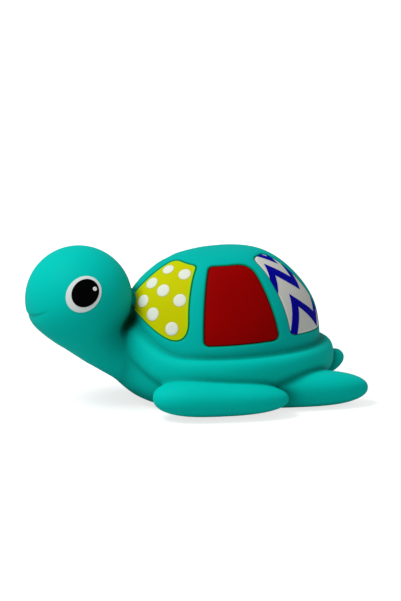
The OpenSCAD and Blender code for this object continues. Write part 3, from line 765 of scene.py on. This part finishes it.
charts = {name: Chart(panel_outline(corners, PANEL_RADII[name])) for name, corners in PANELS.items()}
print("outline points", {name: len(c.edge) for name, c in charts.items()})

# %% [markdown]
# The dome could be cut with a Boolean too, but the lips of the seats would then be broken by whatever faces
# the cut happened to meet, and a smooth shell shows every such break. Instead the dome is triangulated as a
# flat disc whose edges run along the lips, and the disc is then lifted to the dome, each point sunk by its
# distance from the nearest panel.

# %% Lip of a seat
LIP, LIP_SINK, SEAT_SINK, SEAT_EDGE = 0.9 * MM, 0.34 * MM, 0.85 * MM, -0.02 * MM
LIP_LOOPS = [LIP, 0.55 * MM, 0.28 * MM, 0.1 * MM, 0, -0.04 * MM, -0.6 * MM]
DISC_R, DISC_STEP = 50 * MM, 1.15 * MM
FOOT_RINGS, FOOT_POINTS = [0.07, 0.056, 0.043, 0.031, 0.02, 0.01, 0, -0.01, -0.02, -0.03], 300
CROWN_T, CLEAR_IN, CLEAR_OUT = 0.9999, 1.4, 1.5


def sink_at(distance):
    """Depth of the dome's skin by the distance from a panel's outline."""
    lip = LIP_SINK * (1 - np.clip(distance / LIP, 0, 1)) ** 2
    return np.where(distance < SEAT_EDGE, SEAT_SINK, lip)


def on_disc(places):
    radius, a = (1 - places[:, 1]) * DISC_R, np.radians(places[:, 0])
    return np.column_stack([radius * np.sin(a), -radius * np.cos(a)])


def panel_distance(places):
    """Distance from the nearest panel of either side."""
    turned = np.column_stack([turn_from_front(places[:, 0]), places[:, 1]])
    return np.min([chart.distance(turned) for chart in charts.values()], axis=0)


# %% Points of the disc
def disc_places():
    """Rings of points over the whole disc, but for those that are close to a lip."""
    places = []
    for radius in np.arange(DISC_STEP, DISC_R, DISC_STEP):
        count = max(8, int(2 * math.pi * radius / DISC_STEP))
        angles = 360 * (np.arange(count) + 0.5) / count
        places.append(np.column_stack([angles, np.full(count, 1 - radius / DISC_R)]))
    places = np.vstack([[[0, CROWN_T]], *places])
    distance = panel_distance(places)
    clear = (distance < CLEAR_IN * LIP_LOOPS[-1]) | (distance > CLEAR_OUT * LIP)
    return places[clear & (places[:, 1] > FOOT_RINGS[0] + DISC_STEP / DISC_R / 2)]


def dome_mesh_places():
    """All places of the dome's mesh, the depth of each, and the edges that run along the lips."""
    places, sinks, edges = [disc_places()], [], []
    sinks.append(sink_at(panel_distance(places[0])))
    for t in FOOT_RINGS:
        places.append(np.column_stack([360 * np.arange(FOOT_POINTS) / FOOT_POINTS, np.full(FOOT_POINTS, t)]))
        sinks.append(np.zeros(FOOT_POINTS))
    for chart in charts.values():
        for sign in (1, -1):
            for out in LIP_LOOPS:
                loop = chart.loop(out) * [sign, 1]
                start = sum(len(p) for p in places)
                number = np.arange(len(loop))
                edges += list(zip(start + number, start + (number + 1) % len(loop)))
                places.append(loop)
                sinks.append(np.full(len(loop), float(sink_at(np.array(out)))))
    return np.vstack(places), np.concatenate(sinks), edges


# %% The dome's skin
def new_mesh(name, points, faces):
    mesh = bpy.data.meshes.new(name)
    mesh.from_pydata([tuple(p) for p in points], [], faces)
    mesh.update()
    return new_object(name, mesh)


def lifted(places, sinks):
    """Places on the disc as points of the dome. In the valley they settle on it and slip under the rim."""
    p = dome_at(places[:, 0], places[:, 1], sinks)
    a = np.radians(places[:, 0])
    p[:, :2] += np.maximum(0, -places[:, 1:]) * DISC_R * np.column_stack([np.sin(a), -np.cos(a)])
    near = above_crease(p) < 2.5 * FILLET_DOME
    p[near] = settled(top_side, p[near], sink=sinks[near] + dive(p[near], -1), stride=FINE_STRIDE)
    return p


def dome_skin():
    places, sinks, edges = dome_mesh_places()
    flat = [Vector(q) for q in on_disc(places)]
    faces, source = delaunay_2d_cdt(flat, [(int(a), int(b)) for a, b in edges], [], 0, 1e-9)[2:4]
    first = np.array([s[0] if s else 0 for s in source])
    points = lifted(places[first], sinks[first])
    obj = new_mesh("shell_skin", points, [tuple(f) for f in faces])
    # The distance from the panels, which the material turns into painted shade along the lips of the seats.
    paint(obj, "outside", panel_distance(places[first]))
    # The dome keeps the painted shade of its creases as well.
    paint(obj, "crease", painted_crease_shade(points))
    print("dome: places", len(places), "points", len(points), "faces", len(faces))
    return obj


dome = dome_skin()
finish_with(dome, "SOLIDIFY", thickness=WALL, offset=-1)

# %% [markdown]
# Everything that lies on the shell gets the same shading, and its CAD node is hidden.


def dress_shell_piece(obj, node, angle=PIECE_ANGLE):
    """What each piece of the shell gets: shading, its CAD node hidden and its place baked into the mesh."""
    smooth(obj, angle)
    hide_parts(node)
    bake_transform(obj)


dress_shell_piece(dome, "shell_dome")

# %% [markdown]
# Each panel is a thin inlay with a soft edge. It is lofted from loops that follow its outline inwards: a few
# close together round the edge, then wider ones over the middle.

# %% Panels
PANEL_GAP, PANEL_SINK, PANEL_BED, EDGE_R = 0.16 * MM, 0.26 * MM, 0.05 * MM, 0.42 * MM
EDGE_SHARES = [0, 0.06, 0.18, 0.36, 0.62, 1, 1.5, 2.1, 3, 4.2]
MIDDLE_SHARES = [0.93, 0.84, 0.73, 0.6, 0.46, 0.31, 0.15]


def edge_drop(share):
    """How far the rounded edge has dropped, at a share of its radius inwards."""
    u = max(0, 1 - share)
    return EDGE_R * (1 - math.sqrt(1 - u * u))


def wall_faces(rows, n):
    """The faces between closed rows of n points each."""
    pairs = [(i * n + k, i * n + (k + 1) % n) for i in range(rows - 1) for k in range(n)]
    return [(a, b, b + n, a + n) for a, b in pairs]


def lofted(name, loops, cap):
    """A closed mesh from equal loops, from the underside's edge up and in to one last point."""
    n = len(loops[0])
    points = np.vstack([*loops, [cap]])
    last = (len(loops) - 1) * n
    fan = [(last + k, last + (k + 1) % n, len(points) - 1) for k in range(n)]
    return new_mesh(name, points, [tuple(range(n))[::-1], *wall_faces(len(loops), n), *fan])


def panel(name, chart, sign):
    """An inlay from its underside, which lies just over the floor of the seat, to its middle."""
    rings = [(chart.loop(-PANEL_GAP), SEAT_SINK - PANEL_BED)]
    for share in EDGE_SHARES:
        loop = chart.loop(-PANEL_GAP - share * EDGE_R)
        rings.append((loop, PANEL_SINK + edge_drop(share)))
    for share in MIDDLE_SHARES:
        rings.append((chart.mid + (loop - chart.mid) * share, PANEL_SINK))
    rings.append((chart.mid[None, :], PANEL_SINK))
    loops = [(dome_at(ring[:, 0], ring[:, 1], sink) * [sign, 1, 1])[::sign] for ring, sink in rings]
    obj = lofted(name, loops[:-1], loops[-1][0])
    # Distance inside the outline, from which the material paints the edge lines, partly painted shade.
    paint(obj, "inside", np.concatenate([-chart.distance(ring)[::sign] for ring, sink in rings]))
    # The panel keeps the painted shade of its creases as well.
    paint(obj, "crease", painted_crease_shade(points_of(obj)))
    return obj


SIDES = {"left": 1, "right": -1}
panels = {}
for colour, chart in charts.items():
    for side, sign in SIDES.items():
        piece = panel(f"{colour}_inlay_{side}", chart, sign)
        dress_shell_piece(piece, f"{colour}_panel_{side}")
        panels[colour, side] = piece
print("panels", len(panels), "faces each about", len(piece.data.polygons))

# %% [markdown]
# The white dots and the blue bands are printed on the panels with a thick ink that stands a little proud.
# They follow the dome at a smaller depth than the panel under them.

# %% Dots
DOT_D, INK_T, INK_FOOT = 5.1 * MM, 0.12 * MM, 0.03 * MM
DOT_SIDES = 40
DOT_PLACES = np.array([
    [20.8, 0.598], [42.3, 0.612], [16.3, 0.443], [30.5, 0.448], [18.4, 0.27], [47.3, 0.434], [30.1, 0.238],
    [46.3, 0.219],
])
DOT_SIZES = [0.88, 0.95, 0.96, 0.99, 0.97, 0.98, 1, 1]
DOT_RING, DOT_BEVEL = 0.2 * MM, 0.28 * MM
DOT_LOOPS = [(0, INK_FOOT), (0, -INK_T / 3), (DOT_RING, -INK_T / 2), (DOT_BEVEL, -INK_T), (DOT_D / 4, -INK_T)]
A_STEP, T_STEP = 0.5, 0.005


def dot(name, place, size, sign):
    """A round spot: a circle laid out in the plane that touches the dome, then brought on to the dome."""
    angle, t = place
    middle = dome_at(angle, t, PANEL_SINK)
    out = np.cross(dome_at(angle + A_STEP, t, 0) - dome_at(angle - A_STEP, t, 0),
                   dome_at(angle, t + T_STEP, 0) - dome_at(angle, t - T_STEP, 0))
    out /= np.linalg.norm(out)
    side = np.array(to_right) - out * (out @ to_right)
    side /= np.linalg.norm(side)
    turn = 2 * math.pi * np.arange(DOT_SIDES) / DOT_SIDES
    circle = np.outer(np.cos(turn), side) + np.outer(np.sin(turn), np.cross(out, side))
    loops = []
    for inside, rise in DOT_LOOPS:
        places = place_of(middle + circle * (DOT_D / 2 * size + DOT_RING - inside))
        loops.append((dome_at(places[:, 0], places[:, 1], PANEL_SINK + rise) * [sign, 1, 1])[::sign])
    cap = dome_at(angle, t, PANEL_SINK - INK_T) * [sign, 1, 1]
    obj = lofted(name, loops, cap)
    paint(obj, "inside", np.append(np.repeat([inside for inside, rise in DOT_LOOPS], DOT_SIDES), DOT_D / 2))
    return obj


dots = {}
for side, sign in SIDES.items():
    spots = [dot(f"dot_{side}_{i}", place, DOT_SIZES[i], sign) for i, place in enumerate(DOT_PLACES)]
    dots[side] = joined(spots, f"white_dots_{side}")
    dress_shell_piece(dots[side], f"dots_{side}")
print("dots on each side", len(DOT_PLACES))

# %% Zigzag bands
ZIGZAGS = [
    [[[124.2, 0.54], [124.6, 0.452]], [[131.9, 0.655], [132.9, 0.564]], [[151, 0.522], [150.4, 0.44]],
     [[157.6, 0.61], [159.4, 0.54]]],
    [[[124, 0.165], [129.6, 0.145]], [[134.7, 0.436], [137.7, 0.345]], [[155, 0.268], [156.3, 0.15]],
     [[162.2, 0.37], [163.6, 0.29]]],
    [[[147, 0.737], [136.5, 0.731]], [[152.6, 0.69], [151.8, 0.622]], [[155.6, 0.722], [156.6, 0.68]]],
]
BAND_STEPS, BAND_ANGLE = 8, 30


def band(name, turns, sign):
    """A ribbon through pairs of corners, with a flat top and square edges."""
    turns = np.array(turns, float)
    pairs = [turns[i] + (turns[i + 1] - turns[i]) * k / BAND_STEPS
             for i in range(len(turns) - 1) for k in range(BAND_STEPS)] + [turns[-1]]
    sections = []
    for upper, lower in pairs:
        across = [upper + (lower - upper) * s for s in (0, 0.5, 1)]
        section = [dome_at(q[0], q[1], PANEL_SINK + INK_FOOT) for q in (across[0], across[2])]
        section += [dome_at(q[0], q[1], PANEL_SINK - INK_T) for q in across[::-1]]
        sections.append(np.array(section) * [sign, 1, 1])
    rows, n = len(sections), len(sections[0])
    ends = [tuple(range(n)), tuple(range((rows - 1) * n, rows * n))[::-1]]
    faces = ends + wall_faces(rows, n)
    obj = new_mesh(name, np.vstack(sections), faces)
    edit_faces(obj, [True] * len(faces), bpy.ops.mesh.normals_make_consistent, inside=False)
    return obj


bands = {}
for side, sign in SIDES.items():
    bands[side] = joined([band(f"band_{side}_{i}", turns, sign) for i, turns in enumerate(ZIGZAGS)],
                         f"blue_bands_{side}")
    dress_shell_piece(bands[side], f"zigzags_{side}", angle=BAND_ANGLE)
print("bands on each side", len(ZIGZAGS))

# %% [markdown]
# The eyes are printed too: a white oval, a black pupil and a small round highlight, each a thin cap that
# follows the ball of the head. They are laid out round the direction in which the eye looks.

# %% Eyes
EYE_TURN, EYE_RISE, EYE_TILT = (math.radians(a) for a in (82.3, 16, -43))
EYE_W, EYE_H, EYE_AT = 13.3 * MM, 16.2 * MM, (0.35 * MM, 0.4 * MM)
PUPIL_W, PUPIL_H, PUPIL_AT = 10.1 * MM, 11.9 * MM, (0.95 * MM, 0.8 * MM)
SPARK_D, SPARK_AT = 1.7 * MM, (4.65 * MM, 2.25 * MM)
EYE_SIDES = 72

eye_out = np.array([
    math.cos(EYE_RISE) * math.sin(EYE_TURN), -math.cos(EYE_RISE) * math.cos(EYE_TURN), math.sin(EYE_RISE)
])
eye_side = np.cross([0, 0, 1], eye_out)
eye_side /= np.linalg.norm(eye_side)
eye_up = np.cross(eye_out, eye_side)


def on_head(x, y, lift):
    ray = eye_out * HEAD_R + np.multiply.outer(x, eye_side) + np.multiply.outer(y, eye_up)
    ray /= np.linalg.norm(ray, axis=-1, keepdims=True)
    return HEAD_MID + ray * (HEAD_R + lift)


def eye_cap(name, width, height, at, foot, top, sign):
    """A thin oval cap on the head, with a rounded edge."""
    turn = 2 * math.pi * np.arange(EYE_SIDES) / EYE_SIDES
    x, y = np.cos(turn) * width / 2, np.sin(turn) * height / 2
    tx = x * math.cos(EYE_TILT) - y * math.sin(EYE_TILT)
    ty = x * math.sin(EYE_TILT) + y * math.cos(EYE_TILT)
    loops = []
    for share, lift in ((1, foot), (1, (foot + 2 * top) / 3), (0.985, top * 0.96), (0.96, top), (0.75, top),
                        (0.5, top), (0.25, top)):
        loops.append((on_head(at[0] + tx * share, at[1] + ty * share, lift) * [sign, 1, 1])[::sign])
    return lofted(name, loops, on_head(np.array(at[0]), np.array(at[1]), top) * [sign, 1, 1])


EYE_LAYERS = {
    "eye_white": (EYE_W, EYE_H, EYE_AT, -0.5 * MM, 0.14 * MM, "white_vinyl"),
    "pupil": (PUPIL_W, PUPIL_H, PUPIL_AT, 0.1 * MM, 0.26 * MM, "black_vinyl"),
    "catchlight": (SPARK_D, SPARK_D, SPARK_AT, 0.22 * MM, 0.36 * MM, "white_vinyl"),
}
eyes = {}
for layer, (width, height, at, foot, top, slot) in EYE_LAYERS.items():
    for side, sign in SIDES.items():
        cap = eye_cap(f"{layer}_print_{side}", width, height, at, foot, top, sign)
        smooth(cap)
        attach(cap, "toy_base")
        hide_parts(f"{layer}_{side}")
        eyes[layer, side] = cap
print("eye pieces", len(eyes))

# %% [markdown]
# Materials next. One function turns the hex colours, as seen on a screen, to the linear values that the
# shader wants, and one adds a node with its settings and links.

# %% Material helpers
def linear(hex_colour):
    channels = [int(hex_colour[i:i + 2], 16) / 255 for i in (1, 3, 5)]
    return (*[c / 12.92 if c <= 0.04045 else ((c + 0.055) / 1.055) ** 2.4 for c in channels], 1)


def add_node(tree, kind, values=(), links=(), **settings):
    """A node with its settings, socket values and links, each link as (socket, node, output)."""
    node = tree.nodes.new(kind)
    for name, value in settings.items():
        setattr(node, name, value)
    for name, value in dict(values).items():
        node.inputs[name].default_value = value
    for socket, source, output in links:
        tree.links.new(source.outputs[output], node.inputs[socket])
    return node


def blank(name):
    material = bpy.data.materials.new(name)
    material.use_nodes = True
    material.node_tree.nodes.clear()
    return material, material.node_tree


def wear(obj, material):
    obj.data.materials.clear()
    obj.data.materials.append(material)


# %% [markdown]
# Soft PVC comes out of a sandblasted mould: it is matte with a broad, weak highlight, lets a little light in,
# and has a very fine grain. The grain's real size is about a tenth of a millimetre, which the picture can't
# show, so it is drawn at 0.35 mm. The sprayed colours have the same surface.

# %% Vinyl and sprayed colours
VINYL_IOR, VINYL_SPECULAR = 1.53, 0.02
GRAIN, MOTTLE, GLOW_DEPTH = 0.35 * MM, 14 * MM, 1.5 * MM


def soft_vinyl(name, colour, shade, layers=(), roughness=0.6, glow=0.03, grain=0.08):
    """Matte soft vinyl, between a colour and its slightly darker shade.

    Each layer is (attribute, full at, gone at, colour, strength): a colour laid over it by a painted number.
    """
    material, tree = blank(name)
    place = add_node(tree, "ShaderNodeTexCoord")
    mottle = add_node(tree, "ShaderNodeTexNoise", {"Scale": 1 / MOTTLE, "Detail": 2, "Roughness": 0.4},
                      [("Vector", place, "Object")])
    tint = add_node(tree, "ShaderNodeMix", {6: linear(shade), 7: linear(colour)}, [(0, mottle, "Fac")],
                    data_type="RGBA")
    for number, full, gone, over, strength in layers:
        read = add_node(tree, "ShaderNodeAttribute", attribute_name=number)
        share = add_node(tree, "ShaderNodeMapRange", {
            "From Min": full, "From Max": gone, "To Min": strength, "To Max": 0,
        }, [("Value", read, "Fac")], interpolation_type="SMOOTHSTEP")
        tint = add_node(tree, "ShaderNodeMix", {7: linear(over)}, [(0, share, "Result"), (6, tint, 2)],
                        data_type="RGBA")
    fine = add_node(tree, "ShaderNodeTexNoise", {"Scale": 1 / GRAIN, "Detail": 2, "Roughness": 0.5},
                    [("Vector", place, "Object")])
    bump = add_node(tree, "ShaderNodeBump", {"Strength": grain, "Distance": GRAIN / 6},
                    [("Height", fine, "Fac")])
    shader = add_node(tree, "ShaderNodeBsdfPrincipled", {
        "Roughness": roughness, "IOR": VINYL_IOR, "Specular IOR Level": VINYL_SPECULAR,
        "Subsurface Weight": glow, "Subsurface Scale": GLOW_DEPTH, "Subsurface Radius": (0.6, 1, 1),
    }, [("Base Color", tint, 2), ("Normal", bump, "Normal")])
    add_node(tree, "ShaderNodeOutputMaterial", links=[("Surface", shader, "BSDF")])
    return material


# The outside layer darkens the dome's teal along the lips of the seats: painted shade of the grooves.
LIP_W = 0.55 * MM
# The crease layers are painted shade: deep green in the teal's creases, olive in the yellow's.
TEAL = soft_vinyl("teal_soft_vinyl", "#00cabd", "#00c2b4", [("crease", 1, 0, "#00331c", 1)])
# The dome is the same vinyl as the skin, painted a shade darker: painted shade.
SHADED_SHELL_TEAL = soft_vinyl("teal_shell_vinyl_shaded", "#00bcb2", "#00b3a8", [
    ("crease", 1, 0, "#00331c", 1), ("outside", 0.15 * MM, LIP_W, "#008a55", 0.7),
])
# The yellow's green edge line is partly spray mixed with teal, partly painted shade of the groove.
YELLOW = soft_vinyl("yellow_sprayed_vinyl", "#d0d300", "#c3c700", [
    ("crease", 1, 0, "#5a6a00", 0.8), ("inside", 0.9 * MM, 1.4 * MM, "#a8e010", 0.7),
    ("inside", 0.35 * MM, 0.65 * MM, "#169030", 0.95),
])
# The red's near-black edge is partly the spray's edge, partly painted shade of the groove.
RED = soft_vinyl("red_sprayed_vinyl", "#a00000", "#920000", [
    ("inside", 0.25 * MM, 1 * MM, "#240404", 0.9),
])
# The white's dark edge line is partly the spray's edge, partly painted shade of the groove.
CHALK = soft_vinyl("white_sprayed_vinyl", "#dcdcd6", "#d5d5ce", [
    ("inside", 0.6 * MM, 1.1 * MM, "#f2f2ee", 0.7), ("inside", 0.25 * MM, 0.45 * MM, "#1d5a4c", 0.7),
])
# The olive ring at each dot's foot is painted shade round the raised ink.
DOT_WHITE = soft_vinyl("white_dot_ink", "#eaf0e2", "#e4eadc", [
    ("inside", 0.1 * MM, 0.5 * MM, "#f0eca0", 0.8), ("inside", 0.04 * MM, DOT_RING, "#8f9400", 0.8),
])
WHITE = soft_vinyl("white_eye_ink", "#e8f0ee", "#e2ebe9")
BLUE = soft_vinyl("blue_printed_ink", "#0606a6", "#05059a")
BLACK = soft_vinyl("black_printed_ink", "#030303", "#010101")

wear(skin, TEAL)
wear(dome, SHADED_SHELL_TEAL)
for side in SIDES:
    wear(panels["yellow", side], YELLOW)
    wear(panels["red", side], RED)
    wear(panels["white", side], CHALK)
    wear(dots[side], DOT_WHITE)
    wear(bands[side], BLUE)
    wear(eyes["eye_white", side], WHITE)
    wear(eyes["pupil", side], BLACK)
    wear(eyes["catchlight", side], WHITE)
print("materials", len(bpy.data.materials))

# %% [markdown]
# The squeaker is moulded in hard natural polyethylene, a little waxy, and its reed is a strip of rolled
# brass. The CAD nodes already have the right shape, so they stay and only get their finish.

# %% Squeaker
WAXY = soft_vinyl("natural_polyethylene", "#e6e2d6", "#ded9cb", roughness=0.38, glow=0.15, grain=0.04)
ROLL_LINE, ROLL_STRETCH = 0.05 * MM, 20


def rolled_brass():
    """Brass foil: fine lines from the rolls, along the strip."""
    material, tree = blank("rolled_brass")
    place = add_node(tree, "ShaderNodeTexCoord")
    stretch = add_node(tree, "ShaderNodeMapping", {"Scale": (1, 1, 1 / ROLL_STRETCH)},
                       [("Vector", place, "Object")])
    lines = add_node(tree, "ShaderNodeTexNoise", {"Scale": 1 / ROLL_LINE, "Detail": 2},
                     [("Vector", stretch, "Vector")])
    bump = add_node(tree, "ShaderNodeBump", {"Strength": 0.2, "Distance": ROLL_LINE / 5},
                    [("Height", lines, "Fac")])
    shader = add_node(tree, "ShaderNodeBsdfPrincipled", {
        "Base Color": linear("#c9a64b"), "Metallic": 1, "Roughness": 0.3,
    }, [("Normal", bump, "Normal")])
    add_node(tree, "ShaderNodeOutputMaterial", links=[("Surface", shader, "BSDF")])
    return material


for node in ("squeaker_cup", "reed_block", "squeaker_cap"):
    wear(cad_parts[node], WAXY)
wear(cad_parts["reed"], rolled_brass())
print("squeaker dressed")

# %% [markdown]
# The studio is plain: a white sweep, a large soft light from the upper left and front, a weaker one from the
# right, and an even pale surround. The floor is white to the camera and still takes the toy's shadow. It is
# clear from below, so that the belly can be looked at.

# %% Studio
KEY_SIZE, KEY_POWER, FILL_SIZE, FILL_POWER, FLOOR_W = 0.6, 9.3, 0.8, 0.3, 6


def area_light(name, place, size, power):
    light = new_object(name, bpy.data.lights.new(name, "AREA"))
    light.data.shape = "DISK"
    light.data.size = size
    light.data.energy = power
    light.location = place
    light.rotation_euler = Vector(place).to_track_quat("Z", "Y").to_euler()


area_light("key_light", -0.55 * to_right + 0.9 * to_top + 0.45 * to_camera, KEY_SIZE, KEY_POWER)
area_light("fill_light", 0.9 * to_right + 0.35 * to_top + 0.5 * to_camera, FILL_SIZE, FILL_POWER)

floor = added("floor", bpy.ops.mesh.primitive_plane_add, size=FLOOR_W)
paper, tree = blank("white_paper")
place = add_node(tree, "ShaderNodeTexCoord")
radius = add_node(tree, "ShaderNodeVectorMath", {}, [(0, place, "Object")], operation="LENGTH")
sweep = add_node(tree, "ShaderNodeMapRange", {
    "From Min": 0.1, "From Max": 0.45, "To Min": 1.5, "To Max": 2.1,
}, [("Value", radius, "Value")])
seen = add_node(tree, "ShaderNodeEmission", {"Color": (1, 1, 1, 1)}, [("Strength", sweep, "Result")])
matt = add_node(tree, "ShaderNodeBsdfDiffuse", {"Color": (0.86, 0.86, 0.86, 1)})
grey = add_node(tree, "ShaderNodeBsdfDiffuse", {"Color": (0.6, 0.6, 0.6, 1)})
mixed = add_node(tree, "ShaderNodeMixShader", {0: 0.5}, [(1, matt, "BSDF"), (2, seen, "Emission")])
path = add_node(tree, "ShaderNodeLightPath")
shown = add_node(tree, "ShaderNodeMixShader", {}, [
    (0, path, "Is Camera Ray"), (1, grey, "BSDF"), (2, mixed, "Shader"),
])
below = add_node(tree, "ShaderNodeNewGeometry")
clear = add_node(tree, "ShaderNodeBsdfTransparent")
sheet = add_node(tree, "ShaderNodeMixShader", {}, [
    (0, below, "Backfacing"), (1, shown, "Shader"), (2, clear, "BSDF"),
])
add_node(tree, "ShaderNodeOutputMaterial", links=[("Surface", sheet, "Shader")])
wear(floor, paper)

world = bpy.data.worlds.new("surround")
bpy.context.scene.world = world
world.use_nodes = True
tree = world.node_tree
tree.nodes.clear()
path = add_node(tree, "ShaderNodeLightPath")
dim = add_node(tree, "ShaderNodeBackground", {"Color": (1, 1, 1, 1), "Strength": 0.35})
white = add_node(tree, "ShaderNodeBackground", {"Color": (1, 1, 1, 1), "Strength": 1})
pick = add_node(tree, "ShaderNodeMixShader", {}, [
    (0, path, "Is Camera Ray"), (1, dim, "Background"), (2, white, "Background"),
])
add_node(tree, "ShaderNodeOutputWorld", links=[("Surface", pick, "Shader")])
bpy.context.scene.view_settings.view_transform = "Standard"
print("studio ready")

# %% [markdown]
# Last, the view layer is brought up to date.

# %% Finish
bpy.context.view_layer.update()
